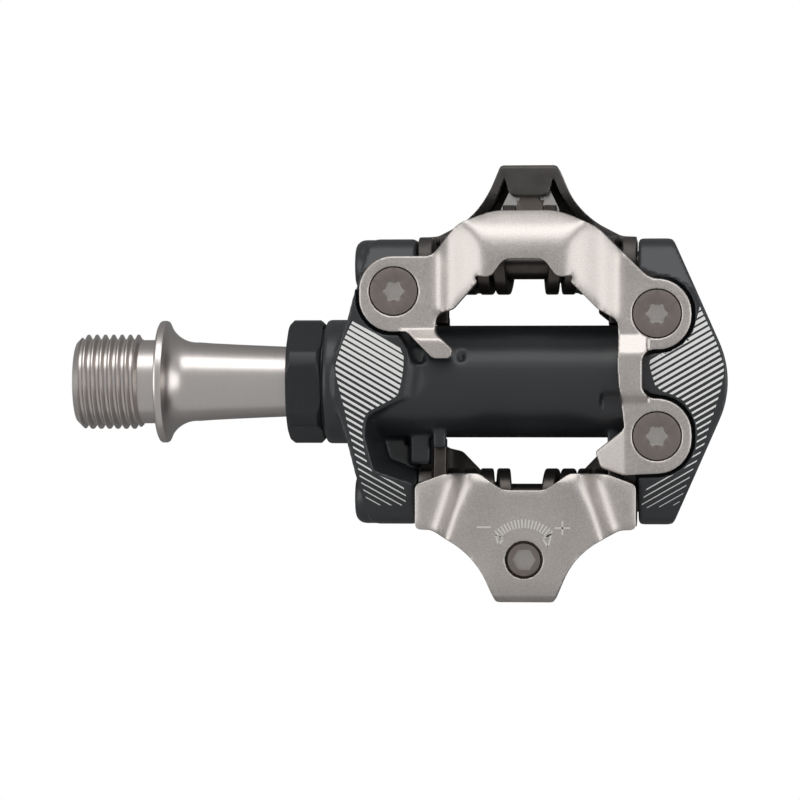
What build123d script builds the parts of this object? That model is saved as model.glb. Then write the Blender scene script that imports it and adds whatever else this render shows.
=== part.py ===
"""Double-sided clipless pedal with sprung claws, made piece by piece.

Millimetres. The origin is the centre of the face that seats against the crank.
+X runs outboard along the spindle, +Y points at the top face's fixed front claw,
+Z comes out of the top face. The bottom face is the top face turned half a turn about X.
"""
from build123d import *
import os
from math import asin, atan2, cos, degrees, hypot, pi, radians, sin, sqrt, tan

# ---------------------------------------------------------------- driving dimensions
# clearances
RUNNING = 0.03            # radial, between a shaft and what turns on it
SEAT = 0.02               # radial, between pieces that are pushed together and stay
POCKET_GAP = 0.5          # round the edge of a front claw's ear
HEAD_GAP = 0.15           # radial, round a claw screw's head

# spindle
THREAD_R = 7.14           # 9/16 inch thread, major radius
THREAD_LENGTH = 9.8
THREAD_CHAMFER = 1.1
RELIEF_LENGTH = 2.8
RELIEF_R = 6.3
FACE_RECESS = 0.3
FACE_INNER_R = 7.6
FLANGE_R = 9.2
FLANGE_THICKNESS = 1.35
FLANGE_EDGE = 0.45
FLARE_LENGTH = 3.9
NECK_R = 5.96
HEX_KEY_AF = 8.0
HEX_KEY_DEPTH = 9.0
SHAFT_R = 5.25
JOURNAL_R = 5.0
SHOULDER_R = 4.3
CORE_R = 3.4
TAIL_THREAD_R = 3.0
TAIL_CHAMFER = 0.4

# lock bolt, seal and bush
LOCK_HEX_X = 19.8
LOCK_HEX_LENGTH = 5.2
LOCK_HEX_AF = 17.0
LOCK_CORNER_R = 9.25
LOCK_HEX_TILT = 9.0       # degrees, the hexagon's flat from the top face's plane
LOCK_NECK_LENGTH = 0.3
LOCK_NECK_R = 8.1
LOCK_BARREL_R = 7.6
LOCK_BARREL_LENGTH = 11.7
SEAL_R = 7.0
SEAL_DEPTH = 2.8
LOCK_WEB = 2.3
LOCK_WEB_GAP = 0.3
BUSH_WALL = 1.1

# ball bearings: 3/32 inch balls
BALL_R = 1.19
BALL_COUNT = 12
BALL_CIRCLE_R = 4.7
RACE_GAP = 0.02
INBOARD_ROW_X = 46.0
OUTBOARD_ROW_X = 57.0
SLEEVE_R = 6.75
SLEEVE_BORE_R = 5.1
SLEEVE_MOUTH_GAP = 0.03
SLEEVE_TAIL = 2.4
CONE_LENGTH = 3.2
LOCK_NUT_AF = 9.0
LOCK_NUT_LENGTH = 2.6
SPINDLE_TAIL = 0.9

# body
BARREL_R = 8.4
COLLAR_R = 9.3
COLLAR_LENGTH = 3.4
COLLAR_TAPER = 3.3
SHOULDER_BORE_R = 6.2
BORE_TAIL = 2.2
WING_TOP = 8.6
WING_FLAT_Y = 14.0
WING_END_Y = 21.3
WING_END_Z = 4.3
LEFT_FACE_X = 39.0
LEFT_VERTEX_X = 26.8
LEFT_CORNER_X = 32.2
RIGHT_FACE_X = 72.1
RIGHT_VERTEX_X = 86.6
RIGHT_SHOULDER_X = 77.2
PAD_INNER_X = 38.5
PAD_VALLEY_X = 37.5       # where the inboard pad starts to fall to the barrel
PAD_VALLEY_TURN = 8.0     # degrees, the pad's inner edge from the Y axis
PAD_VALLEY_DEPTH = 0.7
BOSS_SIDE_Y = 11.0
BOSS_END_X = 29.6         # rounded end of the boss round each pin
BOSS_END_R = 3.9
BOSS_END_ROUND = 1.6
BARREL_FLARE = 2.0
RECESS_FLOOR = 0.5
RECESS_TAPER = 14.0       # degrees
EAR_GUARD_END_X = 41.1    # block beside each rear claw's inboard ear
EAR_GUARD_Y = 12.4
EAR_GUARD_Z = 3.0
SCREW_HOLE_SPARE = 0.3
STOP_HALF_WIDTH = 1.0
STOP_REACH_Y = 9.9
STOP_BELOW_EAR = 2.4      # top of a stop below the ears' seats
STOP_GAP = 0.08

# claws: plan outlines are below
CLEAT_X = 55.5            # middle of the cleat's seat
PLATE = 2.0               # thickness of a front claw
EAR_TOP = 8.9
BRIDGE_TOP = 10.6
ARCH_TOP = 13.8
ARCH_STEP = 12.1
ARCH_LANDING = 11.0
TAB_DROP = 2.2
SCREW_PLACES = ((36.0, 13.34), (74.9, 9.96), (74.9, -8.1))
SCREW_R = 2.0
SCREW_HEAD_R = 3.5
SCREW_HEAD_DEPTH = 1.2
SCREW_HEAD_SINK = 0.15
SCREW_LENGTH = 4.4
LOBE_KEY_R = 1.6
LOBE_KEY_DEPTH = 0.9

REAR_PLATE = 2.1
REAR_TOP = 12.8
REAR_EAR_TOP = 9.0
REAR_HALF_WIDTH = 16.3
REAR_FRONT_Y = -13.5
TIP_Y = 32.6
TIP_HALF_WIDTH = 4.25
TIP_ROLL = 3.6
LIP_RISE = 0.5            # of the front lip above the claw's top
NOSE_Z = 2.0
NOSE_THICKNESS = 1.8
NOSE_REACH = 4.8
NOSE_HALF_WIDTH = 2.9
SKIRT_WALL = 1.2
SKIRT_Z = 4.8             # lower edge of the sides, clear of the coils
REAR_SLOPE_X = 11.4       # from the middle, foot and crown of the slopes beside the ears
REAR_CROWN_X = 8.9
REAR_SLOPE_TURN = 18.0    # degrees, the slopes spread towards the tip
REAR_SLOPE_Y = -18.0
EAR_ARM_FRONT = 2.7

# hinge pins, springs and tension screws
PIN_Y = 17.4
PIN_R = 2.1
PIN_START_X = 29.9
PIN_END_X = 76.6
EAR_RING_R = 4.3
COIL_GAP = 0.35           # radial, between a pin and the coils on it
WIRE = 1.95               # the springs' wire, along the pin and across it
COIL_PITCH = 2.48
COIL_TURNS = 4
COIL_INNER_X = 2.1        # from the middle of the cleat's seat to the nearest turn
CLAW_LEG = 9.8
BODY_LEG = 8.3
LEG_GAP = 0.04            # between a claw leg's end and the tension plate
BOLT_Y = -26.2
BOLT_HOLE_R = 2.75
BOLT_HEAD_R = 2.4
BOLT_FLANGE_R = 3.4
BOLT_FLANGE = 1.0
BOLT_SHANK_R = 2.0
BOLT_HEAD_SINK = 0.5
BOLT_KEY_AF = 3.0
BOLT_KEY_DEPTH = 1.6
BOLT_END_Z = 4.2
TENSION_TOP_Z = 8.0
TENSION_THICKNESS = 2.0
TENSION_HALF_WIDTH = 4.4
TENSION_BACK_HALF_WIDTH = 3.0
TENSION_HALF_DEPTH = 2.9

# ---------------------------------------------------------------- values that follow
LOCK_END_X = LOCK_HEX_X + LOCK_HEX_LENGTH + LOCK_NECK_LENGTH + LOCK_BARREL_LENGTH
COLLAR_X = LOCK_HEX_X + LOCK_HEX_LENGTH + LOCK_NECK_LENGTH
BUSH_X = LOCK_HEX_X + SEAL_DEPTH + LOCK_WEB
BUSH_R = JOURNAL_R + RUNNING + BUSH_WALL
SLEEVE_END_X = OUTBOARD_ROW_X + SLEEVE_TAIL
CONE_END_X = OUTBOARD_ROW_X + CONE_LENGTH
NUT_END_X = CONE_END_X + LOCK_NUT_LENGTH
SPINDLE_END_X = NUT_END_X + SPINDLE_TAIL
BORE_END_X = SPINDLE_END_X + BORE_TAIL
RACE_R = BALL_R + RACE_GAP
EAR_SEAT = EAR_TOP - PLATE
STOP_TOP = EAR_SEAT - STOP_BELOW_EAR
REAR_LEFT_X = CLEAT_X - REAR_HALF_WIDTH
REAR_RIGHT_X = CLEAT_X + REAR_HALF_WIDTH
COIL_MEAN_R = PIN_R + COIL_GAP + WIRE / 2
COIL_LENGTH = COIL_PITCH * COIL_TURNS
LEG_OFFSET_X = COIL_INNER_X + WIRE / 2 + COIL_LENGTH
LEG_TOP_R = COIL_MEAN_R + WIRE / 2
LEG_END_Z = TENSION_TOP_Z - TENSION_THICKNESS - LEG_GAP
# angle about the pin that brings the claw leg's end up to the tension plate
SPRING_TURN = degrees(asin(LEG_END_Z / hypot(LEG_TOP_R, CLAW_LEG)) - atan2(LEG_TOP_R, CLAW_LEG))
FAR = 60.0                # beyond the object, for cutting blocks


# ---------------------------------------------------------------- helpers
def along_x(start, end, radius, y=0.0, z=0.0):
    """Round bar along X."""
    bar = Cylinder(radius, end - start, rotation=(0, 90, 0))
    return Pos((start + end) / 2, y, z) * bar


def hexagon_along_x(start, end, across_flats, tilt=0.0):
    """Hexagonal bar along X, with a flat facing +Z when tilt is 0."""
    profile = RegularPolygon(across_flats / 2, 6, major_radius=False)
    bar = extrude(Plane.YZ * Rot(0, 0, tilt) * profile, end - start)
    return Pos(start, 0, 0) * bar


def turned(points):
    """Solid of revolution about X from (x, radius) points."""
    outline = Polyline(*[(x, r) for x, r in points], close=True)
    return revolve(make_face(outline), Axis.X)


def torus_at(x, ring_radius, tube_radius):
    """Ring about the X axis."""
    return Pos(x, 0, 0) * Torus(ring_radius, tube_radius, rotation=(0, 90, 0))


def rounded_plan(corners):
    """Plan outline from (x, y, corner radius)."""
    points = [(x, y) for x, y, _ in corners]
    radii = [radius for _, _, radius in corners]
    return make_face(FilletPolyline(*points, radius=radii, close=True))


def plan_prism(face, low, high):
    """Plan outline raised from one height to another."""
    return Pos(0, 0, low) * extrude(face, high - low)


def profile_along_x(corners, start, end):
    """(y, z, corner radius) outline extruded along X."""
    points = [(y, z) for y, z, _ in corners]
    radii = [radius for _, _, radius in corners]
    face = make_face(FilletPolyline(*points, radius=radii, close=True))
    return Pos(start, 0, 0) * extrude(Plane.YZ * face, end - start)


def profile_along_y(face, start, end):
    """(x, z) face, drawn as (x, y), extruded along Y."""
    raised = extrude(face, end - start)
    return Pos(0, end, 0) * Rot(90, 0, 0) * raised


def turn_over(shape):
    """The same piece on the pedal's other face."""
    return Rot(180, 0, 0) * shape


def moved_out(corners, gap):
    """Corners of a clockwise outline moved outwards by a gap, with their rounding to match."""
    moved = []
    for index, (x, y, radius) in enumerate(corners):
        next_x, next_y, _ = corners[(index + 1) % len(corners)]
        arriving = Vector(x - corners[index - 1][0], y - corners[index - 1][1]).normalized()
        leaving = Vector(next_x - x, next_y - y).normalized()
        outward = Vector(-arriving.Y - leaving.Y, arriving.X + leaving.X)
        shift = outward * (gap / (1 + arriving.dot(leaving)))
        convex = arriving.cross(leaving).Z < 0
        rounding = radius + gap if convex and radius else max(radius - gap, 0)
        moved.append((x + shift.X, y + shift.Y, rounding))
    return moved


# ---------------------------------------------------------------- spindle and bearings
def make_spindle():
    thread_start = -RELIEF_LENGTH - THREAD_LENGTH
    flange_start_r = FLANGE_R - FLANGE_EDGE
    flare_end = FLANGE_THICKNESS + FLARE_LENGTH
    rim = [
        (thread_start, 0),
        (thread_start, THREAD_R - THREAD_CHAMFER),
        (thread_start + THREAD_CHAMFER, THREAD_R),
        (-RELIEF_LENGTH, THREAD_R),
        (-RELIEF_LENGTH, RELIEF_R),
        (FACE_RECESS, RELIEF_R),
        (FACE_RECESS, FACE_INNER_R),
        (0, FACE_INNER_R),
        (0, flange_start_r),
        (FLANGE_EDGE, FLANGE_R),
        (FLANGE_THICKNESS - FLANGE_EDGE, FLANGE_R),
        (FLANGE_THICKNESS, flange_start_r),
    ]
    tail = [
        (flare_end, NECK_R),
        (LOCK_HEX_X, SHAFT_R),
        (LOCK_HEX_X + SEAL_DEPTH, SHAFT_R),
        (BUSH_X, JOURNAL_R),
        (LOCK_END_X + 1, JOURNAL_R),
        (LOCK_END_X + 2, SHOULDER_R),
        (INBOARD_ROW_X, SHOULDER_R),
        (INBOARD_ROW_X, CORE_R),
        (OUTBOARD_ROW_X - BALL_R, CORE_R),
        (OUTBOARD_ROW_X - BALL_R, TAIL_THREAD_R),
        (SPINDLE_END_X - TAIL_CHAMFER, TAIL_THREAD_R),
        (SPINDLE_END_X, TAIL_THREAD_R - TAIL_CHAMFER),
        (SPINDLE_END_X, 0),
    ]
    flare_top = (FLANGE_THICKNESS, flange_start_r)
    flare_middle = (FLANGE_THICKNESS + 0.3 * FLARE_LENGTH, NECK_R + 0.36 * (flange_start_r - NECK_R))
    flare = ThreePointArc(flare_top, flare_middle, (flare_end, NECK_R))
    outline = Polyline(*rim) + flare + Polyline(*tail) + Line(tail[-1], rim[0])
    spindle = revolve(make_face(outline), Axis.X)
    spindle -= torus_at(INBOARD_ROW_X, BALL_CIRCLE_R, RACE_R)
    return spindle - hexagon_along_x(thread_start, thread_start + HEX_KEY_DEPTH, HEX_KEY_AF)


def make_lock_bolt():
    hex_end = LOCK_HEX_X + LOCK_HEX_LENGTH
    corner_cut = 0.6
    head = hexagon_along_x(LOCK_HEX_X, hex_end, LOCK_HEX_AF, LOCK_HEX_TILT)
    head &= turned([
        (LOCK_HEX_X, 0),
        (LOCK_HEX_X, LOCK_CORNER_R - corner_cut),
        (LOCK_HEX_X + corner_cut, LOCK_CORNER_R),
        (hex_end - corner_cut, LOCK_CORNER_R),
        (hex_end, LOCK_CORNER_R - corner_cut),
        (hex_end, 0),
    ])
    neck = along_x(hex_end, COLLAR_X, LOCK_NECK_R)
    barrel = along_x(COLLAR_X, LOCK_END_X, LOCK_BARREL_R)
    bolt = head + neck + barrel
    bolt -= along_x(LOCK_HEX_X, LOCK_HEX_X + SEAL_DEPTH, SEAL_R + SEAT)
    bolt -= along_x(LOCK_HEX_X, BUSH_X, SHAFT_R + LOCK_WEB_GAP)
    return bolt - along_x(BUSH_X, LOCK_END_X, BUSH_R + SEAT)


def make_dust_seal():
    ring = along_x(LOCK_HEX_X + 0.4, LOCK_HEX_X + SEAL_DEPTH, SEAL_R)
    return ring - along_x(LOCK_HEX_X, LOCK_HEX_X + SEAL_DEPTH, SHAFT_R + RUNNING)


def make_plain_bush():
    return along_x(BUSH_X, LOCK_END_X, BUSH_R) - along_x(BUSH_X, LOCK_END_X, JOURNAL_R + RUNNING)


def make_bearing_sleeve():
    mouth_r = BALL_CIRCLE_R + RACE_R + SLEEVE_MOUTH_GAP
    sleeve = along_x(LOCK_END_X, SLEEVE_END_X, SLEEVE_R)
    sleeve -= along_x(LOCK_END_X, SLEEVE_END_X, SLEEVE_BORE_R)
    sleeve -= along_x(LOCK_END_X, INBOARD_ROW_X, mouth_r)
    sleeve -= along_x(OUTBOARD_ROW_X, SLEEVE_END_X, mouth_r)
    sleeve -= torus_at(INBOARD_ROW_X, BALL_CIRCLE_R, RACE_R)
    return sleeve - torus_at(OUTBOARD_ROW_X, BALL_CIRCLE_R, RACE_R)


def make_ball_row(x):
    balls = []
    for index in range(BALL_COUNT):
        angle = 2 * pi * index / BALL_COUNT
        centre = Pos(x, BALL_CIRCLE_R * cos(angle), BALL_CIRCLE_R * sin(angle))
        balls.append(centre * Sphere(BALL_R))
    return Compound(children=balls)


def make_bearing_cone():
    cone = along_x(OUTBOARD_ROW_X, CONE_END_X, SHOULDER_R)
    cone -= torus_at(OUTBOARD_ROW_X, BALL_CIRCLE_R, RACE_R)
    return cone - along_x(OUTBOARD_ROW_X, CONE_END_X, TAIL_THREAD_R + SEAT)


def make_lock_nut():
    nut = hexagon_along_x(CONE_END_X, NUT_END_X, LOCK_NUT_AF)
    return nut - along_x(CONE_END_X, NUT_END_X, TAIL_THREAD_R + SEAT)


# ---------------------------------------------------------------- front claws
# plan outlines, (x, y, corner radius), clockwise
INBOARD_EAR_START = ((30.85, 18.55, 5.1),)
ARCH_OUTSIDE = (
    (41.6, 18.55, 2.0), (45.7, 23.2, 4.5), (50.8, 25.15, 9.0), (60.4, 25.2, 11.0),
    (66.3, 22.6, 7.0),
)
OUTBOARD_EARS = (
    (69.8, 19.1, 2.0), (73.9, 15.1, 3.0), (80.0, 15.1, 5.05), (80.0, 4.85, 5.05),
    (72.75, 4.55, 1.7), (72.75, -2.4, 1.9), (80.0, -2.85, 5.1), (80.0, -13.35, 5.1),
)
TAB = ((69.9, -13.9, 1.0), (66.5, -12.8, 0.8), (65.8, -10.4, 0.5), (70.1, -7.0, 1.0))
STRIP_INSIDE = ((69.2, 0.5, 9.0), (69.2, 8.9, 1.5), (66.2, 10.6, 1.5), (62.3, 14.6, 0.4))
ARCH_INSIDE = (
    (63.0, 15.5, 0.2), (60.4, 15.2, 1.5), (58.4, 17.95, 2.0), (52.6, 17.95, 2.0),
    (50.6, 15.2, 1.5), (48.0, 15.5, 0.2), (48.7, 14.6, 0.4), (45.0, 10.6, 1.5),
)
TAIL_INSIDE = ((42.25, 9.9, 1.5), (42.25, 7.1, 1.5), (44.9, 4.7, 0.8), (44.6, 3.35, 0.8))
INBOARD_EAR_END = ((41.9, 3.35, 1.2), (38.0, 7.35, 1.5), (30.85, 7.35, 5.0))
FRONT_PLAN = (INBOARD_EAR_START + ARCH_OUTSIDE + OUTBOARD_EARS + TAB + STRIP_INSIDE
              + ARCH_INSIDE + TAIL_INSIDE + INBOARD_EAR_END)
# the parts of the outline that the body's pockets follow, closed over open space
INBOARD_POCKET = INBOARD_EAR_START + ((46.0, 18.55, 0), (46.0, 3.35, 0)) + INBOARD_EAR_END
OUTBOARD_POCKET = OUTBOARD_EARS + ((67.0, -13.9, 0), (67.0, 18.9, 0))
# the claw's upper side across the arch, (x, z, bend radius)
ARCH_PROFILE = (
    (42.6, EAR_SEAT, 0), (42.6, EAR_TOP, 0), (44.4, ARCH_LANDING, 2.5), (46.8, ARCH_STEP, 3.0),
    (49.4, ARCH_TOP, 3.5), (61.6, ARCH_TOP, 3.5),
    (64.4, ARCH_STEP, 3.0), (66.9, ARCH_LANDING, 2.5), (69.4, EAR_TOP, 0), (69.4, EAR_SEAT, 0),
)
ARCH_ROLL_Y = 21.2        # where the arch rolls down
ARCH_ROLL_R = 8.0
ARCH_FRONT_Y = 25.3
ARCH_FRONT_Z = 10.4       # height of the arch's front edge
ARCH_BACK_Y = 8.0
# the upper side along the strip that joins the outboard ears, and along the inboard tail
STRIP_PROFILE = (
    (6.9, EAR_SEAT, 0), (6.9, EAR_TOP, 0), (4.0, BRIDGE_TOP, 1.5),
    (-1.8, BRIDGE_TOP, 1.5), (-3.4, EAR_TOP, 0), (-3.4, EAR_SEAT, 0),
)
TAIL_PROFILE = (
    (7.8, EAR_SEAT, 0), (7.8, EAR_TOP, 0), (6.1, BRIDGE_TOP, 0.8),
    (2.0, BRIDGE_TOP, 0), (2.0, EAR_SEAT, 0),
)
TAB_TOP_X = 70.3          # where the tab beside the rear claw starts to drop
TAB_TOP_Y = -7.2


def lowered(profile, depth):
    """Profile lowered, with its sloped ends drawn in so that the wall keeps its thickness."""
    middle = (profile[0][0] + profile[-1][0]) / 2
    points = []
    for place, height, radius in profile:
        inwards = 0.45 * depth if place < middle else -0.45 * depth
        points.append((place + inwards, height - depth, radius))
    return points


def front_height(depth):
    """Everything below the front claw's upper side, lowered by depth."""
    base = Pos(CLEAT_X, 0, EAR_TOP - depth - FAR / 2) * Box(2 * FAR, 2 * FAR, FAR)
    arch_face = rounded_plan(lowered(ARCH_PROFILE, depth))
    roll = profile_along_x([
        (ARCH_BACK_Y, EAR_SEAT - depth, 0), (ARCH_BACK_Y, ARCH_TOP - depth, 0),
        (ARCH_ROLL_Y - 0.4 * depth, ARCH_TOP - depth, ARCH_ROLL_R),
        (ARCH_FRONT_Y, ARCH_FRONT_Z - depth, 0), (ARCH_FRONT_Y, EAR_SEAT - depth, 0),
    ], 40.0, 72.0)
    arch_block = profile_along_y(arch_face, ARCH_BACK_Y, ARCH_FRONT_Y) & roll
    strip = profile_along_x(lowered(STRIP_PROFILE, depth), 66.5, 73.5)
    tail = profile_along_x(lowered(TAIL_PROFILE, depth), 37.0, 45.5)
    return base + arch_block + strip + tail


def front_tab(outline):
    """Tab beside the rear claw, which drops away from the lower outboard ear."""
    end_x = 64.0
    top = EAR_TOP - TAB_DROP
    slab = make_face(Polyline(
        (TAB_TOP_X, EAR_TOP), (end_x, top), (end_x, top - PLATE), (TAB_TOP_X, EAR_SEAT),
        close=True))
    return plan_prism(outline, 0, 20) & profile_along_y(slab, -15.0, TAB_TOP_Y)


def make_front_claw():
    """Top face's pressed plate: two outboard ears, one inboard ear and the arch."""
    outline = rounded_plan(FRONT_PLAN)
    above = plan_prism(outline, 0, 20)
    plate = (above & front_height(0)) - front_height(PLATE)
    tab_side = Box(FAR, FAR, FAR, align=(Align.MAX, Align.MAX, Align.CENTER))
    plate -= Pos(TAB_TOP_X, TAB_TOP_Y, 0) * tab_side
    plate += front_tab(outline)
    for x, y in SCREW_PLACES:
        plate -= Pos(x, y, EAR_TOP) * Cylinder(SCREW_R + HEAD_GAP, 3 * PLATE)
        head_seat = EAR_TOP - SCREW_HEAD_SINK - SCREW_HEAD_DEPTH
        plate -= plan_prism(Pos(x, y) * Circle(SCREW_HEAD_R + HEAD_GAP), head_seat, EAR_TOP + 1)
    return plate


def make_claw_screws():
    """Countersunk-flat machine screws with six-lobe recesses, one for each ear."""
    screws = []
    top = EAR_TOP - SCREW_HEAD_SINK
    for x, y in SCREW_PLACES:
        place = Pos(x, y)
        screw = plan_prism(place * Circle(SCREW_HEAD_R), top - SCREW_HEAD_DEPTH, top)
        screw += plan_prism(place * Circle(SCREW_R), top - SCREW_HEAD_DEPTH - SCREW_LENGTH, top - 1)
        key = Circle(0.82 * LOBE_KEY_R)
        for lobe in range(6):
            angle = radians(60 * lobe)
            reach = 0.76 * LOBE_KEY_R
            key += Pos(reach * cos(angle), reach * sin(angle)) * Circle(0.24 * LOBE_KEY_R)
        screw -= plan_prism(place * key, top - LOBE_KEY_DEPTH, top + 1)
        screws.append(screw)
    return Compound(children=screws)


# ---------------------------------------------------------------- rear claws
# right half of the plan, (distance from the middle, y, corner radius), front edge to tip
REAR_HALF_PLAN = (
    (3.2, -16.0, 3.5), (6.6, REAR_FRONT_Y, 2.0), (12.0, REAR_FRONT_Y - 0.2, 3.0),
    (REAR_HALF_WIDTH, -15.3, 1.0), (REAR_HALF_WIDTH, -21.9, 0.8), (13.9, -22.0, 2.5),
    (7.23, -25.5, 13.0), (TIP_HALF_WIDTH, -TIP_Y, 0.6),
)


def rear_plan():
    """Plan outline of a rear claw."""
    right = [(CLEAT_X + x, y, r) for x, y, r in REAR_HALF_PLAN]
    left = [(CLEAT_X - x, y, r) for x, y, r in reversed(REAR_HALF_PLAN)]
    return rounded_plan(right + left)


def rear_hollow_plan():
    """Plan of the hollow under the claw, open at the front."""
    inner_width = 2 * (REAR_HALF_WIDTH - SKIRT_WALL)
    mouth = Rectangle(inner_width, FAR, align=(Align.CENTER, Align.MIN))
    inside = offset(rear_plan(), amount=-SKIRT_WALL, kind=Kind.INTERSECTION)
    return inside + Pos(CLEAT_X, -PIN_Y - REAR_PLATE) * mouth


def rear_cross(depth):
    """Across the claw: low over the ears, raised over the middle, its slopes spreading to the tip."""
    crown = REAR_TOP + LIP_RISE - depth
    half = (
        (-FAR / 2, -9.0, 0), (-FAR / 2, crown, 0), (REAR_CROWN_X - 0.3 * depth, crown, 3.0),
        (REAR_SLOPE_X - 0.5 * depth, REAR_EAR_TOP + 0.4 - depth, 2.0),
        (FAR / 2, REAR_EAR_TOP - depth, 0), (FAR / 2, -9.0, 0),
    )
    right = profile_along_y(rounded_plan(half), -FAR / 2, FAR / 2)
    left = profile_along_y(rounded_plan([(-x, z, r) for x, z, r in reversed(half)]), -FAR / 2, FAR / 2)
    place = Pos(CLEAT_X, REAR_SLOPE_Y)
    return (place * Rot(0, 0, REAR_SLOPE_TURN) * right) & (place * Rot(0, 0, -REAR_SLOPE_TURN) * left)


def nose_plan():
    """Plan of the flange turned in at the tip."""
    return rounded_plan([
        (CLEAT_X - TIP_HALF_WIDTH, -TIP_Y - 1, 0), (CLEAT_X - NOSE_HALF_WIDTH, -TIP_Y + NOSE_REACH, 1.5),
        (CLEAT_X + NOSE_HALF_WIDTH, -TIP_Y + NOSE_REACH, 1.5), (CLEAT_X + TIP_HALF_WIDTH, -TIP_Y - 1, 0),
    ])


def make_rear_claw():
    """Top face's sprung claw: a hollow shell with two ears on the hinge pin."""
    shell_side = profile_along_x([
        (REAR_FRONT_Y + 1.0, SKIRT_Z, 0), (REAR_FRONT_Y + 1.0, REAR_TOP - 0.6, 0),
        (REAR_FRONT_Y - 1.5, REAR_TOP + LIP_RISE, 1.0), (REAR_FRONT_Y - 6.0, REAR_TOP, 6.0),
        (-TIP_Y, REAR_TOP, TIP_ROLL), (-TIP_Y, NOSE_Z, 0.5),
        (-TIP_Y + NOSE_REACH, NOSE_Z, 1.0), (-TIP_Y + NOSE_REACH + 4, SKIRT_Z, 0),
    ], REAR_LEFT_X, REAR_RIGHT_X)
    hollow_side = profile_along_x([
        (1.0, -9.0, 0), (1.0, REAR_TOP - REAR_PLATE, 0),
        (-TIP_Y + REAR_PLATE, REAR_TOP - REAR_PLATE, 0.8),
        (-TIP_Y + REAR_PLATE, NOSE_Z + NOSE_THICKNESS, 0.5),
        (-TIP_Y + NOSE_REACH, NOSE_Z + NOSE_THICKNESS, 0),
        (-TIP_Y + NOSE_REACH, -9.0, 0),
    ], REAR_LEFT_X - 1, REAR_RIGHT_X + 1)
    outside = plan_prism(rear_plan(), -9, 20) & rear_cross(0)
    shell = outside & shell_side
    shell -= plan_prism(rear_hollow_plan(), -9, 20) & rear_cross(REAR_PLATE) & hollow_side
    shell -= plan_prism(rear_hollow_plan() - nose_plan(), -9, NOSE_Z + NOSE_THICKNESS + 1)
    for start in (REAR_LEFT_X, REAR_RIGHT_X - REAR_PLATE):
        end = start + REAR_PLATE
        arm = profile_along_x([
            (-PIN_Y - EAR_RING_R, 0, 0), (-PIN_Y - EAR_RING_R, REAR_TOP, 0),
            (-PIN_Y + EAR_ARM_FRONT, REAR_TOP, 0), (-PIN_Y + EAR_RING_R, 0, 0),
        ], start, end)
        ring = along_x(start, end, EAR_RING_R, -PIN_Y)
        shell += (outside & arm) + ring
    shell -= along_x(REAR_LEFT_X - 1, REAR_RIGHT_X + 1, PIN_R + RUNNING, -PIN_Y)
    return shell - Pos(CLEAT_X, BOLT_Y, REAR_TOP) * Cylinder(BOLT_HOLE_R, 3 * REAR_PLATE)


def make_pivot_pin():
    pin = along_x(PIN_START_X, PIN_END_X, PIN_R, -PIN_Y)
    return chamfer(pin.edges().filter_by(GeomType.CIRCLE), 0.4)


def make_spring(side):
    """Torsion spring of square wire, side -1 inboard or 1 outboard.

    The leg at the coil's inner end runs under the tension plate, the other to the body's stop.
    """
    helix = Helix(COIL_PITCH, COIL_LENGTH, COIL_MEAN_R, direction=(1, 0, 0))
    section = Plane(origin=helix @ 0, z_dir=helix % 0, x_dir=(1, 0, 0)) * Rectangle(WIRE, WIRE)
    spring = sweep(section, path=helix, is_frenet=True)
    body_leg = Box(WIRE, BODY_LEG, WIRE, align=(Align.CENTER, Align.MIN, Align.CENTER))
    claw_leg = Box(WIRE, CLAW_LEG, WIRE, align=(Align.CENTER, Align.MAX, Align.CENTER))
    spring += Pos(0, 0, COIL_MEAN_R) * body_leg
    spring += Pos(COIL_LENGTH, 0, COIL_MEAN_R) * claw_leg
    spring = Rot(-SPRING_TURN, 0, 0) * spring
    if side > 0:
        spring = mirror(spring, about=Plane.YZ)
    return Pos(CLEAT_X + side * LEG_OFFSET_X, -PIN_Y, 0) * spring


def make_tension_bolt():
    head_top = REAR_TOP - BOLT_HEAD_SINK
    flange_top = REAR_TOP - REAR_PLATE - SEAT
    place = Pos(CLEAT_X, BOLT_Y)
    bolt = plan_prism(place * Circle(BOLT_HEAD_R), flange_top - BOLT_FLANGE, head_top)
    bolt += plan_prism(place * Circle(BOLT_FLANGE_R), flange_top - BOLT_FLANGE, flange_top)
    bolt += plan_prism(place * Circle(BOLT_SHANK_R), BOLT_END_Z, flange_top)
    key = place * RegularPolygon(BOLT_KEY_AF / 2, 6, major_radius=False)
    return bolt - plan_prism(key, head_top - BOLT_KEY_DEPTH, head_top + 1)


def make_tension_plate():
    outline = rounded_plan([
        (CLEAT_X - TENSION_HALF_WIDTH, BOLT_Y + TENSION_HALF_DEPTH, 0.5),
        (CLEAT_X + TENSION_HALF_WIDTH, BOLT_Y + TENSION_HALF_DEPTH, 0.5),
        (CLEAT_X + TENSION_HALF_WIDTH, BOLT_Y, 0.5),
        (CLEAT_X + TENSION_BACK_HALF_WIDTH, BOLT_Y - TENSION_HALF_DEPTH, 0.5),
        (CLEAT_X - TENSION_BACK_HALF_WIDTH, BOLT_Y - TENSION_HALF_DEPTH, 0.5),
        (CLEAT_X - TENSION_HALF_WIDTH, BOLT_Y, 0.5),
    ])
    plate = plan_prism(outline, TENSION_TOP_Z - TENSION_THICKNESS, TENSION_TOP_Z)
    return plate - Pos(CLEAT_X, BOLT_Y, TENSION_TOP_Z) * Cylinder(BOLT_SHANK_R + RUNNING, FAR)


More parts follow.
